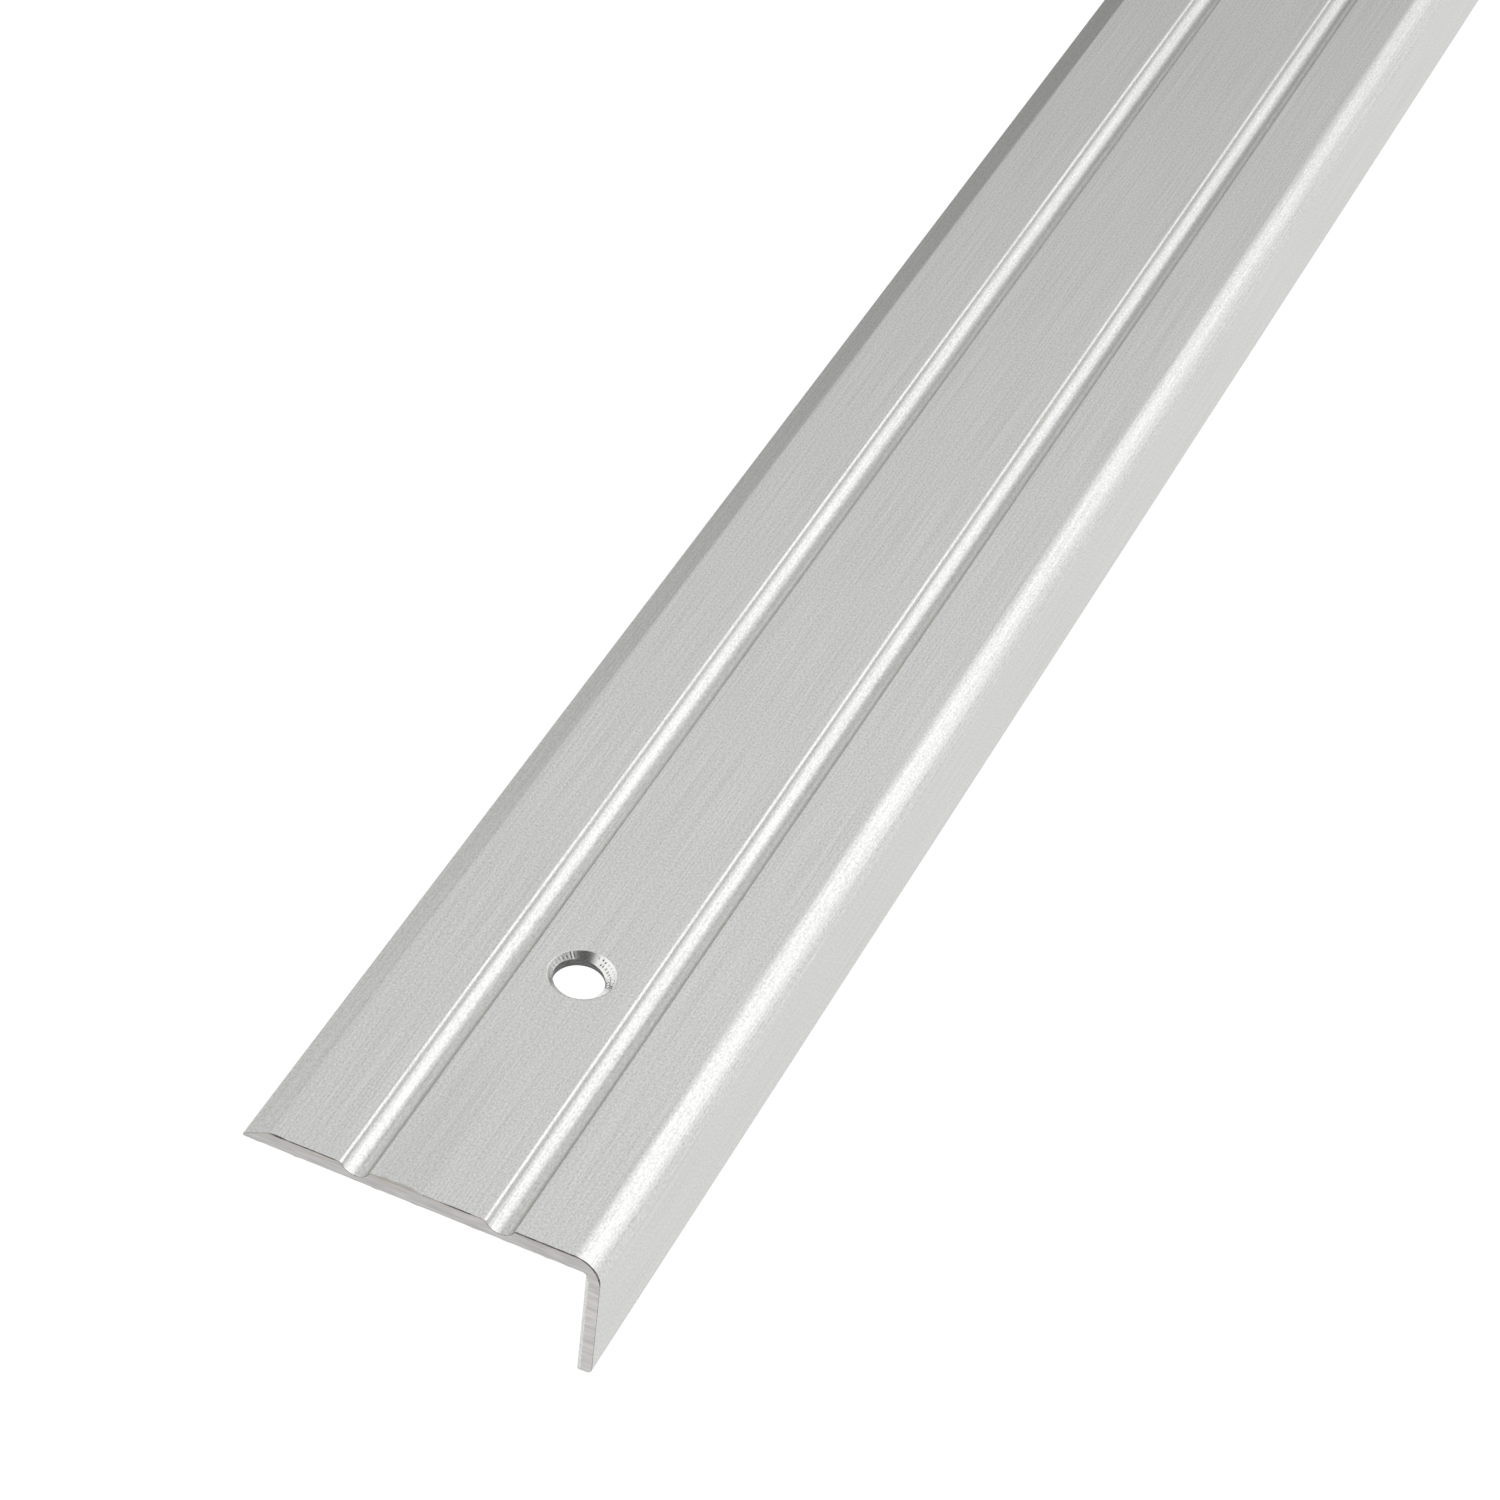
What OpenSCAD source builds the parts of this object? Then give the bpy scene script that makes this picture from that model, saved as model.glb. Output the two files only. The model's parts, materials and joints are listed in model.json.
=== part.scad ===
// Step and threshold edge strip: one extruded aluminium angle.
// A flat top plate with two lengthwise grooves lies on the floor covering, and a short front leg
// covers the cut edge below it. Countersunk screws hold it down through the middle of the plate.
// +X runs along the strip, -Y faces out of the front leg, +Z is up. The origin is under the middle
// of the strip, in the plane of the leg's lower edge. Millimetres.

/* [Length] */
// Length of the strip between its two sawn ends
strip_len = 900; // [200:10:3000]

/* [Angle section] */
// Width from the face of the front leg to the thin back edge
strip_w = 25; // [24:0.5:60]
// Height from the lower edge of the leg to the top of the plate
strip_h = 10; // [6:0.5:40]
// Thickness of the top plate
plate_t = 1.1; // [1.0:0.05:1.6]
// Thickness of the front leg
leg_t = 1.0; // [0.8:0.05:1.6]
// Outer radius of the nose, where the plate turns down into the leg
nose_r = 1.9; // [1.7:0.1:3]
// Radius inside the corner between plate and leg
corner_r = 0.3; // [0.1:0.05:0.6]
// Radius on the outer corner of the leg's lower edge
leg_outer_r = 0.4; // [0.2:0.05:0.5]
// Radius on the inner corner of the leg's lower edge
leg_inner_r = 0.15; // [0.1:0.05:0.2]

/* [Back edge] */
// Width of the slope that thins the plate down to its back edge
bevel_w = 1.8; // [0.5:0.1:3]
// Thickness left at the back edge
tip_t = 0.2; // [0.1:0.05:0.6]

/* [Grooves] */
// Distance from the leg's face to the middle of the front groove
front_groove_y = 7; // [4:0.1:8]
// Distance between the middles of the two grooves
groove_pitch = 10.1; // [8:0.1:12]
// Width of a groove where it opens at the top
groove_w = 2; // [0.5:0.1:2.4]
// Depth of a groove below the top of the plate
groove_depth = 0.7; // [0.2:0.05:0.8]

/* [Screw holes] */
// Number of screw holes along the strip
hole_count = 4; // [2:1:8]
// Distance from each end of the strip to the middle of the first hole
hole_margin = 22.4; // [10:0.1:60]
// Distance from the leg's face to the middle of the countersinks, between the grooves
sink_y = 12.2; // [11.5:0.1:12.5]
// Diameter of the drilled hole
hole_d = 3.5; // [3:0.1:4.5]
// Diameter of the countersink at the top of the plate
sink_d = 4.6; // [4.6:0.1:6]
// Angle of the countersink
sink_angle = 90; // [82:1:100]
// How far the drilled hole sits behind the middle of its countersink
drill_offset = 0.2; // [0:0.05:0.4]

/* [Hidden] */
$fn = 96;
// Cutting tools reach this far past the faces that they cut
over = 1;
hole_pitch = (strip_len - 2 * hole_margin) / (hole_count - 1);
sink_slope = tan(sink_angle / 2);
sink_depth = (sink_d - hole_d) / 2 / sink_slope;
// A groove is part of a circle through both lips and the lowest point
groove_r = (groove_w * groove_w / 4 + groove_depth * groove_depth) / (2 * groove_depth);

// In the section, x is measured back from the leg's face and y up from the leg's lower edge.

module leg_section() {
    flat_w = leg_t - leg_outer_r - leg_inner_r;
    translate([0, leg_outer_r])
        square([leg_t, strip_h - nose_r - leg_outer_r]);
    translate([leg_outer_r, leg_inner_r])
        square([leg_t - leg_outer_r, leg_outer_r]);
    translate([leg_outer_r, 0])
        square([flat_w, leg_outer_r]);
    translate([leg_outer_r, leg_outer_r])
        circle(leg_outer_r);
    translate([leg_t - leg_inner_r, leg_inner_r])
        circle(leg_inner_r);
}

module plate_section() {
    underside = strip_h - plate_t;
    polygon([
        [nose_r, underside],
        [strip_w, underside],
        [strip_w, underside + tip_t],
        [strip_w - bevel_w, strip_h],
        [nose_r, strip_h]
    ]);
}

// The step's own corner, which the strip is pushed onto, with the strip's inner radius on it
module step_section() {
    drop = strip_h - plate_t + over;
    translate([leg_t + corner_r, -over])
        square([strip_w, drop]);
    translate([leg_t, -over])
        square([strip_w, drop - corner_r]);
    translate([leg_t + corner_r, strip_h - plate_t - corner_r])
        circle(corner_r);
}

module groove_section() {
    translate([0, strip_h - groove_depth + groove_r])
        circle(groove_r);
}

module angle_section() {
    difference() {
        union() {
            leg_section();
            plate_section();
            translate([nose_r, strip_h - nose_r])
                circle(nose_r);
        }
        step_section();
        for (i = [0, 1])
            translate([front_groove_y + i * groove_pitch, 0])
                groove_section();
    }
}

module screw_hole() {
    translate([0, drill_offset, strip_h - plate_t - over])
        cylinder(d = hole_d, h = plate_t + 2 * over);
    translate([0, 0, strip_h - sink_depth])
        cylinder(d1 = hole_d, d2 = sink_d + 2 * over * sink_slope, h = sink_depth + over);
}

module edge_profile() {
    color("silver")
        translate([0, -strip_w / 2, 0])
            difference() {
                rotate([90, 0, 90])
                    linear_extrude(strip_len, center = true)
                        angle_section();
                for (i = [0 : hole_count - 1])
                    translate([i * hole_pitch - strip_len / 2 + hole_margin, sink_y, 0])
                        screw_hole();
            }
}

edge_profile();
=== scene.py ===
import json
from math import acos, atan2, ceil, cos, exp, pi, radians, sin, sqrt, tan

import bmesh
import bpy
import numpy as np
from mathutils import Matrix, Vector, noise
from mathutils.geometry import delaunay_2d_cdt


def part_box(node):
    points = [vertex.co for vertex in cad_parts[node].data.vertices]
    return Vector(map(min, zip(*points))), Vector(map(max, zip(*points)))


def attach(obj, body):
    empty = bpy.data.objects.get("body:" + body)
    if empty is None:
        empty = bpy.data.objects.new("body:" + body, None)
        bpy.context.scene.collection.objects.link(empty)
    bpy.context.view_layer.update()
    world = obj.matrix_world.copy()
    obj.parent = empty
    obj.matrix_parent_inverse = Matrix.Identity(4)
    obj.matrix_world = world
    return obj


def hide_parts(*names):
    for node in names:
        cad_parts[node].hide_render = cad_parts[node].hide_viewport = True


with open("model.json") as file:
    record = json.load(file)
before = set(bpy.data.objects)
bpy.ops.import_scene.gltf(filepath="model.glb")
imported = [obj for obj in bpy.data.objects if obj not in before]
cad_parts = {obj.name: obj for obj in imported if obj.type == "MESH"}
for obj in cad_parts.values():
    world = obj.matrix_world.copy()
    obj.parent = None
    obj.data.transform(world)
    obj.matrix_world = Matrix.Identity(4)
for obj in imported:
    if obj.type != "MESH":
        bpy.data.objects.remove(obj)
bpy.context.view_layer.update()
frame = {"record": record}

# ---------------------------------------------------------------------------------------------
# Sizes, in metres. What the frame holds is read from it. The section's roundings, grooves and
# bevel repeat the part's own sizes, and the marks and breaks are finish that only shows here.
# ---------------------------------------------------------------------------------------------
MM = 0.001
NODE = "edge_profile"
low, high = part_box(NODE)
mounts = {m["name"]: m for m in frame["record"]["mounts"]}
HEIGHT = high.z - low.z
FACE_Y = low.y  # the outer face of the front leg
TOP_Z = high.z
UNDERSIDE_Z = mounts["tread_seat"]["pos_m"][2]
PLATE_T = TOP_Z - UNDERSIDE_Z
LEG_INSIDE_Y = mounts["riser_seat"]["pos_m"][1]

# Section
NOSE_R = 1.9 * MM
CORNER_R = 0.3 * MM
LEG_OUTER_R = 0.4 * MM
LEG_INNER_R = 0.15 * MM
BEVEL_W = 1.8 * MM
BEVEL_R = 0.5 * MM  # softens the line where the back slope meets the plate
TIP_T = 0.2 * MM
TIP_R = 0.09 * MM
GROOVE_DEPTH = 0.7 * MM
GROOVE_HALF_W = 1 * MM
GROOVE_R = (GROOVE_HALF_W**2 + GROOVE_DEPTH**2) / (2 * GROOVE_DEPTH)
BACK_LIP_R = 0.25 * MM
FRONT_LIP_R = 0.08 * MM
FRONT_GROOVE_Y = FACE_Y + 7 * MM
BACK_GROOVE_Y = FACE_Y + 17.1 * MM
ARC_STEP = radians(4)
HOLD = 0.1 * MM  # narrow flat beside each rounding, so that the broad flats shade flat
FLAT_STEP = 0.3 * MM  # distance between outline points along a flat
SHARP_ANGLE = radians(28)  # edges that turn more than this stay sharp
CDT_INSIDE = 1  # keeps only the triangles inside the edges
CDT_NEAR = 1e-9  # points closer than this are merged

# Screw holes
hole_mounts = [m for m in mounts.values() if m["kind"] == "bolt_pattern"]
DRILL_R = hole_mounts[0]["dims"]["hole_r_mm"] * MM
DRILL_Y = hole_mounts[0]["pos_m"][1]
DRILL_OFFSET = 0.2 * MM  # how far the drilled hole lies behind its countersink's middle
SINK_Y = DRILL_Y - DRILL_OFFSET
SINK_R = 2.28 * MM
HOLE_XS = sorted(s * m["dims"]["spacing_x_mm"] * MM / 2 for m in hole_mounts for s in (-1, 1))
RIM_ROUND = 0.02 * MM
RIM_SAG = 0.3 * RIM_ROUND  # drop of the rounded rim halfway round
RIM_HOLD = 0.1 * MM
EXIT_BEVEL = 0.12 * MM  # breaks the drilled hole's lower edge
LEAST_WALL = 0.08 * MM  # drilled wall that is left under the cone at least
HOLE_STEPS = 360
CONE_STEPS = 14
PATCH = 4 * MM  # half the length of plate that is meshed around each hole

# Chatter marks that the countersink's cutter has left: long ones on the side towards +Y, and
# two rows of short pits on the side towards +X. Bearings run from +X towards +Y, and shares
# run from 0 at the cone's rim to 1 at the drilled hole.
CHATTER_PITCH = radians(8)
CHATTER_WIDTH = radians(1.5)
CHATTER_WANDER = 0.35  # of a pitch
CHATTER_STRENGTH = (0.75, 0.5)  # mean, and how far it varies
MARKS_FADE = radians(6)
LONG_MARKS = (radians(38), radians(104))
LONG_DEPTH = 0.03 * MM
LONG_FADE = 0.2  # share of the cone, at its foot
PITS = (radians(-84), radians(-6))
PIT_DEPTH = 0.07 * MM
PIT_ROWS = (0.3, 0.68)
PIT_LENGTH = 0.09
PIT_WANDER = 0.14
PIT_MISSING = -0.3  # noise below this leaves a pit out
CONE_ENDS = 0.3  # the marks fade out at both ends of the cone, faster for a smaller power
SCORED_ARC = (radians(40), radians(179))  # where the cutter has left the cone duller
FIRST_HOLE_SEED, HOLE_SEED_STEP = 5, 7

# Sawn ends
END_PITCH = 0.1 * MM
END_MARGIN = 0.05 * MM
NEAR_SEED, FAR_SEED = 11, 23
FACING = 0.7  # a surface faces a way when more than this of its normal points there
LIGHT_BREAK = 0.02 * MM
HEAVY_BREAK = 0.09 * MM
# Where the saw has bruised the near end's upper edge, which also sets how wide the painted shade
# line along it is: mm back from the leg's face, and how much
BRUISES = (((-1, 6.1), 0.8), ((8.7, 11), 0.7), ((18.4, 21.9), 0.55), ((21.7, 23.2), 1))
BRUISE_FADE = 0.3  # mm
BRUISE_DROP = 2 * MM  # how far the front bruise goes down the nose
BRUISE_DROP_FADE = 0.5 * MM
BRUISE_PATCH = 0.6  # mm from a heavier place to a lighter one
FAR_BRUISE = (0.6, 2)  # how heavy the far end's bruises are on average, and how far they vary
FAR_BRUISE_PATCH = 3  # mm
SMEAR = (12.4, 16)  # mm back from the leg's face, where the near end's upper edge is rubbed away
SMEAR_SIZE = (0.24 * MM, 0.1 * MM)  # along the strip and down
SMEAR_FADE = 0.8  # mm
SMEAR_PATCH = 0.4  # mm
RUBBED = 0.2 * MM  # width of the bright rubbed band on the inner edge of the leg
RUBBED_FADE = 0.4 * MM
BURR = 0.12 * MM  # hangs from the end's lower edge
BURR_LENGTH = 0.7 * MM
STREAK_DEPTH = 0.005 * MM
STREAK = (2.4, 0.22)  # mm across the strip and down
WAVE_DEPTH = 0.02 * MM
WAVE = (2, 1.5)  # mm across the strip and down
LINE_DEPTH = 0.03 * MM
LINE_WIDTH = 0.07  # mm
SAW_LINES = ((2.5, 0.6), (4.2, 1), (6.3, 0.8), (7.35, 0.6))  # mm below the top, and strength

# Tones that the sawn metal's colour is multiplied by
PLAIN_TONE = (1, 1, 1)
BAND_TONE = (0.84, 0.84, 0.85)  # before each of the saw's lines
LINE_TONE = (1, 0.93, 0.87)
UPPER_TONE = (0.88, 0.86, 0.83)  # next to the plate's upper surface
PLATE_TONE = (0.88, 0.88, 0.88)  # over the rest of the plate's end

# The anodised skin
STREAKS = (60, 8000, 8000)  # features per metre along each axis
GRAIN = (5000, 8000, 8000)
GRAIN_SHARE = 0.66
GLANCING = 0.88  # how much of a bare metal's glancing reflection the anodised skin keeps

# Floor, light and camera
FLOOR_HALF = 20  # from its middle to each side
FLOOR_IN_METAL = 0.89  # the floor's brightness in reflections; it is 1 to the eye
ROOM = 1.1  # the room's brightness to the eye
SKY = 0.726  # and in reflections
# Soft lights, and dark patches where the strength is negative: strength, direction, and the
# angles in degrees from it at which the light starts to fade and has faded out
LIGHTS = (
    (0.555, (0.7, -0.38, 0.41), 7, 51),
    (0.23, (0.7, -0.27, 0.62), 11.5, 33),
    (0.3, (-0.25, 0.9, 0.45), 20, 50),
    (0.16, (0.785, 0.44, 0.44), 4, 19),
    (-0.663, (1, 0.06, -0.05), 30, 50),
    (0.4, (1, -0.05, -0.15), 8, 28),
    (-0.65, (-0.7, -0.25, 0.66), 18, 34),
)
TARGET = Vector((low.x + 47.89 * MM, FACE_Y + 11.69 * MM, TOP_Z))
DISTANCE = 337.1 * MM
AZIMUTH = radians(-70.17)  # from straight in front of the leg, round towards +X
ELEVATION = radians(41.71)
ROLL = radians(6.81)
SENSOR = 36  # mm
LENS = 117.53  # mm


# ---------------------------------------------------------------------------------------------
# Section outline
# ---------------------------------------------------------------------------------------------
def arc(middle, radius, start, turn):
    """Points on an arc from angle start through turn, both ends included."""
    steps = max(2, ceil(abs(turn) / ARC_STEP))
    return [
        middle + radius * Vector((cos(start + turn * i / steps), sin(start + turn * i / steps)))
        for i in range(steps + 1)
    ]


def turn_between(a, b):
    """The shorter way round from angle a to angle b."""
    return (b - a + pi) % (2 * pi) - pi


def angle_of(v):
    return atan2(v.y, v.x)


def rounded(before, corner, after, radius):
    """Arc that rounds the corner between two straight edges."""
    a = (before - corner).normalized()
    b = (after - corner).normalized()
    half = acos(max(-1, min(1, a.dot(b)))) / 2
    middle = corner + (a + b).normalized() * radius / sin(half)
    start = angle_of(corner + a * radius / tan(half) - middle)
    end = angle_of(corner + b * radius / tan(half) - middle)
    return arc(middle, radius, start, turn_between(start, end))


def groove(middle_y):
    """One groove with rounded lips, from its back lip to its front lip."""
    middle = Vector((middle_y, TOP_Z - GROOVE_DEPTH + GROOVE_R))

    def lip(radius, side):
        rise = GROOVE_R - GROOVE_DEPTH + radius
        reach = sqrt((GROOVE_R + radius) ** 2 - rise**2)
        lip_middle = Vector((middle_y + side * reach, TOP_Z - radius))
        return arc(lip_middle, radius, pi / 2, turn_between(pi / 2, angle_of(middle - lip_middle)))

    back = lip(BACK_LIP_R, 1)
    front = lip(FRONT_LIP_R, -1)[::-1]
    start = angle_of(back[-1] - middle)
    bowl = arc(middle, GROOVE_R, start, turn_between(start, angle_of(front[0] - middle)))
    return back + bowl[1:-1] + front


def with_holds(points, before, after):
    """Adds a narrow flat on each side of a rounding."""
    a = points[0] + (before - points[0]).normalized() * HOLD
    b = points[-1] + (after - points[-1]).normalized() * HOLD
    return [a, *points, b]


def divided(a, b):
    """Evenly spaced points between a and b, without either."""
    steps = max(1, ceil((b - a).length / FLAT_STEP))
    return [a.lerp(b, i / steps) for i in range(1, steps)]


def section():
    """The section's outline from the tip forward over the top, down the leg and back underneath,
    and the indices of the first and last point of the two flats that the holes open on."""
    tip_low = Vector((high.y, UNDERSIDE_Z))
    tip_top = Vector((high.y, UNDERSIDE_Z + TIP_T))
    crease = Vector((high.y - BEVEL_W, TOP_Z))
    nose = Vector((FACE_Y, TOP_Z))
    leg_out = Vector((FACE_Y, low.z))
    leg_in = Vector((LEG_INSIDE_Y, low.z))
    corner = Vector((LEG_INSIDE_Y, UNDERSIDE_Z))
    back_groove = with_holds(groove(BACK_GROOVE_Y), crease, nose)
    inside_corner = with_holds(rounded(leg_in, corner, tip_low, CORNER_R), leg_in, tip_low)
    runs = [
        rounded(tip_low, tip_top, crease, TIP_R),
        with_holds(rounded(tip_top, crease, nose, BEVEL_R), tip_top, nose),
        back_groove,
        with_holds(groove(FRONT_GROOVE_Y), crease, nose),
        with_holds(rounded(crease, nose, leg_out, NOSE_R), crease, leg_out),
        with_holds(rounded(nose, leg_out, leg_in, LEG_OUTER_R), nose, leg_in),
        with_holds(rounded(leg_out, leg_in, corner, LEG_INNER_R), leg_out, corner),
        inside_corner,
        [tip_low - Vector((2 * HOLD, 0)), *rounded(corner, tip_low, tip_top, TIP_R)],
    ]
    points = []
    holed = []
    for run, following in zip(runs, runs[1:] + runs[:1]):
        points += run
        first = len(points) - 1
        points += divided(run[-1], following[0])
        if run is back_groove or run is inside_corner:
            holed.append((first, len(points)))
    return points, holed


def normals_of(points):
    """Unit normals out of the metal at each outline point."""
    found = []
    for i in range(len(points)):
        along = points[(i + 1) % len(points)] - points[i - 1]
        found.append(Vector((along.y, -along.x)).normalized())
    return found


# ---------------------------------------------------------------------------------------------
# Unevenness
# ---------------------------------------------------------------------------------------------
def ripple(seed, x, y=0, z=0):
    """Smooth noise from -1 to 1, with features about 1 across."""
    return noise.noise(Vector((x + seed, y - seed, z + 2 * seed)))


def uneven(mean, swing, seed, x, y=0, z=0):
    """A value that varies smoothly about its mean."""
    return mean + swing * ripple(seed, x, y, z)


def window(value, span, soft):
    """1 inside a span, falling to 0 at its two ends over the distance soft."""
    return max(0, min(1, (value - span[0]) / soft, (span[1] - value) / soft))


def bell(distance, width):
    """1 where the distance is 0, falling away smoothly over the width."""
    return exp(-((distance / width) ** 2))


# ---------------------------------------------------------------------------------------------
# Screw holes
# ---------------------------------------------------------------------------------------------
# The bored walls' material has a near-black colour that is painted shade.
ANODISED, SAWN, BRUISED_PAINTED_SHADE, COUNTERSUNK, SCORED, BORED_PAINTED_SHADE = range(6)


def chatter(bearing, share, seed):
    """How deep the cutter has marked the cone at a bearing, this share of the way down it. The
    factors inside uneven() and ripple() set how much each mark differs from its neighbours."""
    bearing = turn_between(0, bearing)
    place = uneven(bearing / CHATTER_PITCH, CHATTER_WANDER, seed, bearing * 5, share * 0.8)
    number = round(place)
    mark = bell((place - number) * CHATTER_PITCH, CHATTER_WIDTH)
    mark *= uneven(*CHATTER_STRENGTH, seed + 4, number * 1.7, share * 3)
    long = window(bearing, LONG_MARKS, MARKS_FADE) * window(share, (-LONG_FADE, 1), LONG_FADE)
    pits = 0
    for row, down in enumerate(PIT_ROWS):
        if ripple(seed + 9, number * 3.3, row * 7) > PIT_MISSING:
            middle = uneven(down, PIT_WANDER, seed + 6, number * 2.3, row * 5)
            pits += bell(share - middle, PIT_LENGTH)
    pits *= window(bearing, PITS, MARKS_FADE)
    return mark * (LONG_DEPTH * long + PIT_DEPTH * pits)


class Spoke:
    """Where a hole's cone and drilled wall lie, one way out from the drill's middle."""

    def __init__(self, x, bearing):
        self.way = Vector((cos(bearing), sin(bearing)))
        self.drill = Vector((x, DRILL_Y))
        self.sink = Vector((x, SINK_Y))
        self.wall = self.drill + self.way * DRILL_R
        self.out = (self.wall - self.sink).normalized()
        self.cone_depth = SINK_R - (self.wall - self.sink).length
        self.wall_depth = max(PLATE_T - EXIT_BEVEL, self.cone_depth + LEAST_WALL)

    def on_top(self, radius, z):
        return (*(self.sink + self.out * radius), z)

    def on_cone(self, share, seed):
        cut = chatter(angle_of(self.out), share, seed) * sin(pi * share) ** CONE_ENDS
        rim = self.sink + self.out * (SINK_R - RIM_ROUND)
        spot = rim.lerp(self.wall, share) + self.out * cut
        return (*spot, TOP_Z - RIM_ROUND - (self.cone_depth - RIM_ROUND) * share - cut)

    def on_wall(self):
        return (*self.wall, TOP_Z - self.wall_depth)

    def underneath(self, radius):
        return (*(self.drill + self.way * radius), UNDERSIDE_Z)


def hole_rings(bm, x, seed):
    """Rings of vertices down one hole, each with the material of the faces below it."""
    spokes = [Spoke(x, 2 * pi * k / HOLE_STEPS) for k in range(HOLE_STEPS)]

    def ring(place):
        return [bm.verts.new(place(spoke)) for spoke in spokes]

    def cone(share):
        return ring(lambda spoke: spoke.on_cone(share, seed))

    rim = SINK_R + RIM_ROUND
    foot = DRILL_R + EXIT_BEVEL
    rings = [
        (ring(lambda spoke: spoke.on_top(rim + RIM_HOLD, TOP_Z)), ANODISED),
        (ring(lambda spoke: spoke.on_top(rim, TOP_Z)), ANODISED),
        (ring(lambda spoke: spoke.on_top(SINK_R, TOP_Z - RIM_SAG)), COUNTERSUNK),
    ]
    rings += [(cone(step / CONE_STEPS), COUNTERSUNK) for step in range(CONE_STEPS)]
    rings += [
        # The drilled wall below the cone is coloured near black: painted shade of the inside of
        # the bore.
        (cone(1), BORED_PAINTED_SHADE),
        (ring(Spoke.on_wall), BORED_PAINTED_SHADE),
        (ring(lambda spoke: spoke.underneath(foot)), ANODISED),
        (ring(lambda spoke: spoke.underneath(foot + RIM_HOLD)), ANODISED),
    ]
    return rings


def ring_materials(material):
    """The material of each face round a ring; part of the cone is scored."""
    materials = [material] * HOLE_STEPS
    if material == COUNTERSUNK:
        for k in range(HOLE_STEPS):
            if SCORED_ARC[0] < turn_between(0, 2 * pi * k / HOLE_STEPS) < SCORED_ARC[1]:
                materials[k] = SCORED
    return materials


def closed(first, count):
    """The edges that join this many numbered points into a loop."""
    return [(first + i, first + (i + 1) % count) for i in range(count)]


def triangulated(spots, edges):
    """Fills closed loops of edges: places of the points, triangles between them, and the numbers
    of the given points that each one comes from."""
    places, _, triangles, sources, _, _ = delaunay_2d_cdt(spots, edges, [], CDT_INSIDE, CDT_NEAR)
    return places, triangles, sources


def fill_around(bm, loop, ring):
    """Fills the flat between a boundary loop and the ring of a hole inside it."""
    verts = [*loop, *ring]
    edges = closed(0, len(loop)) + closed(len(loop), len(ring))
    middle = sum((v.co.xy for v in ring), Vector((0, 0))) / len(ring)
    _, triangles, sources = triangulated([v.co.xy - middle for v in verts], edges)
    for triangle in triangles:
        corners = [sources[i][0] for i in triangle]
        if min(corners) < len(loop):
            bm.faces.new([verts[i] for i in corners])


# ---------------------------------------------------------------------------------------------
# Sawn ends
# ---------------------------------------------------------------------------------------------
def bruise(point, seed):
    """How heavily the saw has bruised the upper edge of an end here, from 0 to 1."""
    behind_face = (point.x - FACE_Y) / MM
    if seed == NEAR_SEED:
        strength = max(heavy * window(behind_face, span, BRUISE_FADE) for span, heavy in BRUISES)
    else:
        strength = max(0, min(1, uneven(*FAR_BRUISE, seed, behind_face / FAR_BRUISE_PATCH)))
    strength *= window(point.y, (TOP_Z - BRUISE_DROP, TOP_Z + HEIGHT), BRUISE_DROP_FADE)
    return min(1, strength * uneven(0.8, 0.9, seed, behind_face / BRUISE_PATCH))


def edge_break(point, normal, seed):
    """How far the edge of an end is broken back along the strip and in from its surface, and
    what the broken edge is made of."""
    faces_down = normal.y < -FACING
    if faces_down and point.y > TOP_Z - BRUISE_DROP:
        hang = max(0, ripple(seed, point.x / BURR_LENGTH)) * BURR
        return LIGHT_BREAK, -hang, SAWN
    if normal.x > FACING and point.x < LEG_INSIDE_Y + CORNER_R:
        width = RUBBED * window(point.y, (-HEIGHT, UNDERSIDE_Z - CORNER_R), RUBBED_FADE)
        return LIGHT_BREAK, LIGHT_BREAK + width, ANODISED
    if faces_down or point.y < UNDERSIDE_Z and normal.x > -FACING:
        return LIGHT_BREAK, LIGHT_BREAK, SAWN
    behind_face = (point.x - FACE_Y) / MM
    smear = window(behind_face, SMEAR, SMEAR_FADE)
    if smear and seed == NEAR_SEED and normal.y > FACING:
        smear *= uneven(0.8, 0.6, seed, behind_face / SMEAR_PATCH)
        return *(LIGHT_BREAK + (size - LIGHT_BREAK) * smear for size in SMEAR_SIZE), SAWN
    # Upper edges get the bruised material, whose near-black colour is painted shade along the
    # broken edge.
    size = LIGHT_BREAK + (HEAVY_BREAK - LIGHT_BREAK) * bruise(point, seed)
    return size, size, BRUISED_PAINTED_SHADE


def saw_relief(y, z, seed):
    """How far the saw has cut into the end at a point of the section."""
    back = (y - FACE_Y) / MM
    drop = (TOP_Z - z) / MM
    streaks = uneven(0.5, 0.5, seed, 0, back / STREAK[0], drop / STREAK[1])
    waves = uneven(0.5, 0.5, seed + 3, 0, back / WAVE[0], drop / WAVE[1])
    lines = sum(strength * bell(drop - place, LINE_WIDTH) for place, strength in SAW_LINES)
    return STREAK_DEPTH * streaks + WAVE_DEPTH * waves + LINE_DEPTH * lines


def end_rings(bm, points, normals, x, inward, seed):
    """The ring where the strip's skin ends and the ring round the sawn face, with the material
    of the broken edge between them at each point."""
    skin = []
    face = []
    materials = []
    for point, normal in zip(points, normals):
        back, inset, material = edge_break(point, normal, seed)
        rim = point - normal * inset
        cut = saw_relief(*rim, seed)
        skin.append(bm.verts.new((x + inward * (cut + back), *point)))
        face.append(bm.verts.new((x + inward * cut, *rim)))
        materials.append(material)
    return skin, face, materials


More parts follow.
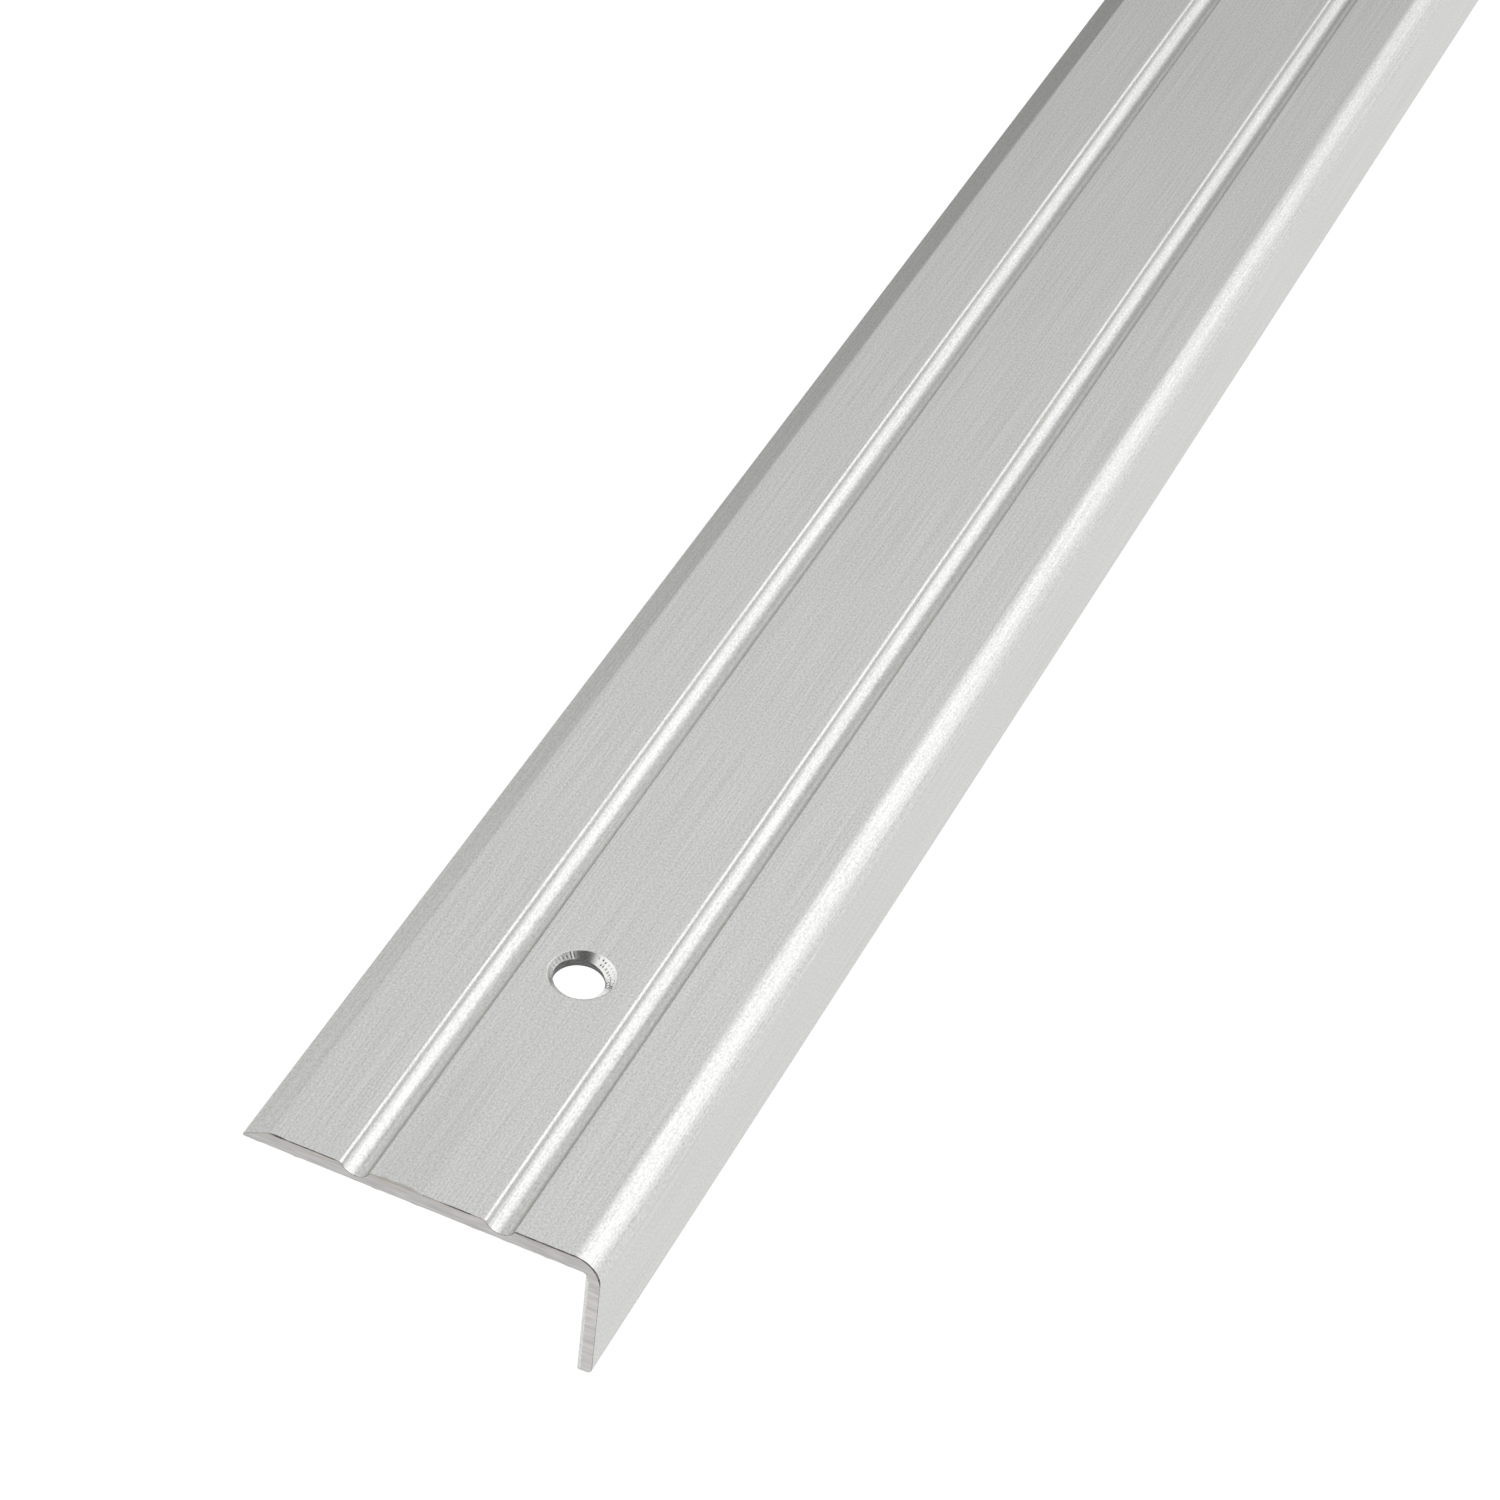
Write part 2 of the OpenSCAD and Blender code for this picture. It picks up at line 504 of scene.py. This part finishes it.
def grid_inside(outline):
    """Points of a square grid inside the outline, at least END_MARGIN from it."""
    ys = np.arange(low.y + END_PITCH / 2, high.y, END_PITCH)
    zs = np.arange(low.z + END_PITCH / 2, high.z, END_PITCH)
    spots = np.array(np.meshgrid(ys, zs)).reshape(2, -1).T
    inside = np.zeros(len(spots), bool)
    nearest = np.full(len(spots), np.inf)
    corners = np.array(outline)
    for a, b in zip(corners, np.roll(corners, -1, axis=0)):
        crosses = (a[1] > spots[:, 1]) != (b[1] > spots[:, 1])
        if crosses.any():
            inside ^= crosses & (
                spots[:, 0] < a[0] + (spots[:, 1] - a[1]) / (b[1] - a[1]) * (b[0] - a[0])
            )
        share = np.clip((spots - a) @ (b - a) / ((b - a) @ (b - a)), 0, 1)
        nearest = np.minimum(nearest, np.hypot(*(spots - a - share[:, None] * (b - a)).T))
    return [Vector(spot) for spot in spots[inside & (nearest > END_MARGIN)]]


def cap(bm, rim, x, inward, seed):
    """Fills a sawn end with small faces that carry the saw's marks."""
    outline = [v.co.yz for v in rim]
    spots = [*outline, *grid_inside(outline)]
    places, triangles, sources = triangulated(spots, closed(0, len(rim)))
    verts = []
    for place, source in zip(places, sources):
        if source and source[0] < len(rim):
            verts.append(rim[source[0]])
        else:
            verts.append(bm.verts.new((x + inward * saw_relief(*place, seed), *place)))
    for triangle in triangles:
        bm.faces.new([verts[i] for i in triangle]).material_index = SAWN


# ---------------------------------------------------------------------------------------------
# The whole strip
# ---------------------------------------------------------------------------------------------
def band(bm, ring, following, materials, skip=()):
    """A band of faces between two closed rings of vertices, without the skipped stretches."""
    for i in range(len(ring)):
        k = (i + 1) % len(ring)
        if not any(first <= i < last for first, last in skip):
            face = bm.faces.new((ring[i], following[i], following[k], ring[k]))
            face.material_index = materials[i]


def build_strip():
    points, holed = section()
    normals = normals_of(points)
    plain = [ANODISED] * len(points)
    bm = bmesh.new()
    near_skin, near_rim, near_edge = end_rings(bm, points, normals, low.x, 1, NEAR_SEED)
    far_skin, far_rim, far_edge = end_rings(bm, points, normals, high.x, -1, FAR_SEED)
    rings = [near_skin]
    for x in HOLE_XS:
        for end in (x - PATCH, x + PATCH):
            rings.append([bm.verts.new((end, *p)) for p in points])
    rings.append(far_skin)
    for j, (ring, following) in enumerate(zip(rings, rings[1:])):
        band(bm, ring, following, plain, holed if j % 2 else ())
    band(bm, near_rim, near_skin, near_edge)
    band(bm, far_skin, far_rim, far_edge)
    cap(bm, near_rim, low.x, 1, NEAR_SEED)
    cap(bm, far_rim, high.x, -1, FAR_SEED)
    for h, x in enumerate(HOLE_XS):
        down = hole_rings(bm, x, FIRST_HOLE_SEED + HOLE_SEED_STEP * h)
        for (ring, material), (following, _) in zip(down, down[1:]):
            band(bm, ring, following, ring_materials(material))
        before, after = rings[2 * h + 1], rings[2 * h + 2]
        for (first, last), (ring, _) in zip(holed, (down[0], down[-1])):
            loop = before[first : last + 1] + after[first : last + 1][::-1]
            fill_around(bm, loop, ring)
    bmesh.ops.recalc_face_normals(bm, faces=bm.faces[:])
    return bm


# ---------------------------------------------------------------------------------------------
# Materials
# ---------------------------------------------------------------------------------------------
def new_metal(name):
    material = bpy.data.materials.new(name)
    material.use_nodes = True
    tree = material.node_tree
    tree.nodes.clear()
    shader = tree.nodes.new("ShaderNodeBsdfPrincipled")
    shader.inputs["Metallic"].default_value = 1
    output = tree.nodes.new("ShaderNodeOutputMaterial")
    tree.links.new(shader.outputs["BSDF"], output.inputs["Surface"])
    return material, tree, shader


def pattern(tree, scale, detail):
    """Noise over the object's own coordinates, with this many features per metre on each axis."""
    coords = tree.nodes.new("ShaderNodeTexCoord")
    mapping = tree.nodes.new("ShaderNodeMapping")
    mapping.inputs["Scale"].default_value = scale
    texture = tree.nodes.new("ShaderNodeTexNoise")
    texture.inputs["Scale"].default_value = 1
    texture.inputs["Detail"].default_value = detail
    texture.inputs["Roughness"].default_value = 0.5
    tree.links.new(coords.outputs["Object"], mapping.inputs["Vector"])
    tree.links.new(mapping.outputs["Vector"], texture.inputs["Vector"])
    return texture.outputs["Fac"]


def blend(tree, a, b, share):
    mix = tree.nodes.new("ShaderNodeMix")
    mix.data_type = "FLOAT"
    mix.inputs["Factor"].default_value = share
    tree.links.new(a, mix.inputs["A"])
    tree.links.new(b, mix.inputs["B"])
    return mix.outputs["Result"]


def multiplied(tree, a, b):
    """The product of two colours."""
    mix = tree.nodes.new("ShaderNodeMix")
    mix.data_type = "RGBA"
    mix.blend_type = "MULTIPLY"
    mix.inputs["Factor"].default_value = 1
    tree.links.new(a, mix.inputs["A"])
    tree.links.new(b, mix.inputs["B"])
    return mix.outputs["Result"]


def ramp(tree, value, stops):
    node = tree.nodes.new("ShaderNodeValToRGB")
    elements = node.color_ramp.elements
    while len(elements) < len(stops):
        elements.new(0.5)
    for element, (place, colour) in zip(elements, stops):
        element.position = place
        element.color = (*colour, 1)
    tree.links.new(value, node.inputs["Fac"])
    return node.outputs["Color"]


def spread(tree, value, lowest, highest):
    """Spreads the middle of a noise pattern's range between two values."""
    node = tree.nodes.new("ShaderNodeMapRange")
    node.inputs["From Min"].default_value = 0.3
    node.inputs["From Max"].default_value = 0.7
    node.inputs["To Min"].default_value = lowest
    node.inputs["To Max"].default_value = highest
    tree.links.new(value, node.inputs["Value"])
    return node.outputs["Result"]


def bump(tree, value, height, shader):
    node = tree.nodes.new("ShaderNodeBump")
    node.inputs["Strength"].default_value = 1
    node.inputs["Distance"].default_value = height
    tree.links.new(value, node.inputs["Height"])
    tree.links.new(node.outputs["Normal"], shader.inputs["Normal"])


def textured(tree, shader, marks, dark, light, dull, shiny, height):
    """Makes a metal's colour, gloss and relief follow one noise pattern."""
    tree.links.new(ramp(tree, marks, [(0.3, dark), (0.7, light)]), shader.inputs["Base Color"])
    tree.links.new(spread(tree, marks, dull, shiny), shader.inputs["Roughness"])
    bump(tree, marks, height, shader)


def anodised_metal():
    """The strip's skin, brushed along its length, with a fine grain over the streaks."""
    material, tree, shader = new_metal("anodised_aluminium")
    marks = blend(tree, pattern(tree, STREAKS, 2), pattern(tree, GRAIN, 2), GRAIN_SHARE)
    shader.inputs["Specular Tint"].default_value = (GLANCING, GLANCING, GLANCING, 1)
    textured(
        tree, shader, marks, dark=(0.56, 0.565, 0.545), light=(0.9, 0.905, 0.885),
        dull=0.33, shiny=0.27, height=0.001 * MM,
    )
    return material


def bare_metal(name, scale, **finish):
    """Cut metal, with this many marks per metre on each axis."""
    material, tree, shader = new_metal(name)
    textured(tree, shader, pattern(tree, scale, 3), **finish)
    return material


def sawn_metal():
    """Cut metal that darkens towards each stroke of the saw, with a warm line where it ends."""
    material = bare_metal(
        "sawn_aluminium", (900, 450, 5000), dark=(0.56, 0.55, 0.54), light=(0.7, 0.69, 0.685),
        dull=0.5, shiny=0.38, height=0.006 * MM,
    )
    tree = material.node_tree
    shader = tree.nodes["Principled BSDF"]
    plain = shader.inputs["Base Color"].links[0].from_socket
    coords = tree.nodes.new("ShaderNodeTexCoord")
    split = tree.nodes.new("ShaderNodeSeparateXYZ")
    drop = tree.nodes.new("ShaderNodeMapRange")
    drop.inputs["From Min"].default_value = TOP_Z
    drop.inputs["From Max"].default_value = low.z
    tree.links.new(coords.outputs["Object"], split.inputs["Vector"])
    tree.links.new(split.outputs["Z"], drop.inputs["Value"])
    stops = [(0.02, UPPER_TONE), (0.045, PLATE_TONE), (0.13, PLATE_TONE)]
    around_line = ((-0.6, PLAIN_TONE), (-0.06, BAND_TONE), (0.04, LINE_TONE), (0.16, PLAIN_TONE))
    for place, strength in SAW_LINES:
        for offset, tone in around_line:
            colour = [1 + (c - 1) * strength for c in tone]
            stops.append(((place + offset) * MM / HEIGHT, colour))
    bands = ramp(tree, drop.outputs["Result"], stops)
    tree.links.new(multiplied(tree, plain, bands), shader.inputs["Base Color"])
    return material


def finishes():
    """The strip's materials, in the order of their indices."""
    return [
        anodised_metal(),
        sawn_metal(),
        # Painted shade: the bruised edges are coloured near black so that they stay dark whatever
        # the light, like an undercut edge in shadow; the break itself is real relief.
        bare_metal(
            "bruised_edge_painted_shade", (3000, 1500, 3000), dark=(0.08, 0.08, 0.09), light=(0.36, 0.33, 0.31),
            dull=0.6, shiny=0.45, height=0.01 * MM,
        ),
        bare_metal(
            "countersunk_aluminium", (6000, 6000, 9000),
            dark=(0.84, 0.84, 0.82), light=(0.96, 0.96, 0.94),
            dull=0.3, shiny=0.2, height=0.004 * MM,
        ),
        bare_metal(
            "scored_aluminium", (6000, 6000, 3000),
            dark=(0.46, 0.46, 0.45), light=(0.68, 0.68, 0.66),
            dull=0.4, shiny=0.3, height=0.006 * MM,
        ),
        # Painted shade: the drilled wall is coloured near black for the shade inside the bore
        # under the plate, not for the metal's own colour.
        bare_metal(
            "bored_aluminium_painted_shade", (2500, 2500, 12000),
            dark=(0.09, 0.092, 0.09), light=(0.2, 0.205, 0.2),
            dull=0.5, shiny=0.35, height=0.006 * MM,
        ),
    ]


def finished_strip():
    bm = build_strip()
    mesh = bpy.data.meshes.new("edge_strip")
    bm.to_mesh(mesh)
    bm.free()
    for material in finishes():
        mesh.materials.append(material)
    mesh.shade_smooth()
    mesh.set_sharp_from_angle(angle=SHARP_ANGLE)
    strip = bpy.data.objects.new("edge_strip", mesh)
    bpy.context.scene.collection.objects.link(strip)
    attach(strip, "root")
    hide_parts(NODE)


# ---------------------------------------------------------------------------------------------
# Floor, light and camera
# ---------------------------------------------------------------------------------------------
def white_floor():
    """A floor that glows evenly, and a little less in reflections than to the eye."""
    mesh = bpy.data.meshes.new("floor")
    corners = [(-FLOOR_HALF, -FLOOR_HALF), (FLOOR_HALF, -FLOOR_HALF)]
    corners += [(-x, -y) for x, y in corners]
    mesh.from_pydata([(x, y, low.z) for x, y in corners], [], [(0, 1, 2, 3)])
    material = bpy.data.materials.new("white_floor")
    material.use_nodes = True
    tree = material.node_tree
    shader = tree.nodes["Principled BSDF"]
    shader.inputs["Base Color"].default_value = (0.05, 0.05, 0.05, 1)
    shader.inputs["Roughness"].default_value = 0.9
    shader.inputs["Specular IOR Level"].default_value = 0
    shader.inputs["Emission Color"].default_value = (1, 1, 1, 1)
    path = tree.nodes.new("ShaderNodeLightPath")
    strength = tree.nodes.new("ShaderNodeMapRange")
    strength.inputs["To Min"].default_value = FLOOR_IN_METAL
    strength.inputs["To Max"].default_value = 1
    tree.links.new(path.outputs["Is Camera Ray"], strength.inputs["Value"])
    tree.links.new(strength.outputs["Result"], shader.inputs["Emission Strength"])
    mesh.materials.append(material)
    floor = bpy.data.objects.new("floor", mesh)
    bpy.context.scene.collection.objects.link(floor)


def studio():
    """A plain white room to the eye, with soft lights and dark patches in reflections."""
    world = bpy.data.worlds.new("studio")
    bpy.context.scene.world = world
    world.use_nodes = True
    tree = world.node_tree
    tree.nodes.clear()
    coords = tree.nodes.new("ShaderNodeTexCoord")

    def toward(direction, narrow, wide):
        """1 within `narrow` degrees of a direction, falling smoothly to 0 at `wide` degrees."""
        dot = tree.nodes.new("ShaderNodeVectorMath")
        dot.operation = "DOT_PRODUCT"
        dot.inputs[1].default_value = Vector(direction).normalized()
        tree.links.new(coords.outputs["Generated"], dot.inputs[0])
        node = tree.nodes.new("ShaderNodeMapRange")
        node.interpolation_type = "SMOOTHSTEP"
        node.inputs["From Min"].default_value = cos(radians(wide))
        node.inputs["From Max"].default_value = cos(radians(narrow))
        tree.links.new(dot.outputs["Value"], node.inputs["Value"])
        return node.outputs["Result"]

    def plus(light, strength, total):
        """Adds a light at this strength to the room's brightness so far, or else to the sky's."""
        node = tree.nodes.new("ShaderNodeMath")
        node.operation = "MULTIPLY_ADD"
        node.inputs[1].default_value = strength
        node.inputs[2].default_value = SKY
        tree.links.new(light, node.inputs[0])
        if total:
            tree.links.new(total, node.inputs[2])
        return node.outputs["Value"]

    def background(strength):
        node = tree.nodes.new("ShaderNodeBackground")
        node.inputs["Color"].default_value = (1, 1, 1, 1)
        node.inputs["Strength"].default_value = strength
        return node

    total = None
    for strength, direction, narrow, wide in LIGHTS:
        total = plus(toward(direction, narrow, wide), strength, total)
    seen = background(ROOM)
    lit = background(SKY)
    tree.links.new(total, lit.inputs["Strength"])
    path = tree.nodes.new("ShaderNodeLightPath")
    mix = tree.nodes.new("ShaderNodeMixShader")
    output = tree.nodes.new("ShaderNodeOutputWorld")
    tree.links.new(path.outputs["Is Camera Ray"], mix.inputs["Fac"])
    tree.links.new(lit.outputs["Background"], mix.inputs[1])
    tree.links.new(seen.outputs["Background"], mix.inputs[2])
    tree.links.new(mix.outputs["Shader"], output.inputs["Surface"])


def add_camera():
    """Looks down the strip from beyond its near end, tilted a little, through a long lens."""
    level = Vector((cos(AZIMUTH), sin(AZIMUTH), 0))
    ahead = Vector((sin(AZIMUTH), -cos(AZIMUTH), 0))
    back = ahead * cos(ELEVATION) + Vector((0, 0, sin(ELEVATION)))
    right = level * cos(ROLL) + back.cross(level) * sin(ROLL)
    data = bpy.data.cameras.new("camera")
    data.sensor_width = SENSOR
    data.lens = LENS
    data.clip_start = 0.01
    data.clip_end = 100
    camera = bpy.data.objects.new("camera", data)
    turn = Matrix((right, back.cross(right), back)).transposed().to_4x4()
    camera.matrix_world = Matrix.Translation(TARGET + back * DISTANCE) @ turn
    bpy.context.scene.collection.objects.link(camera)
    bpy.context.scene.camera = camera


scene = bpy.context.scene
scene.view_settings.view_transform = "Standard"
scene.view_settings.look = "None"
finished_strip()
white_floor()
studio()
add_camera()
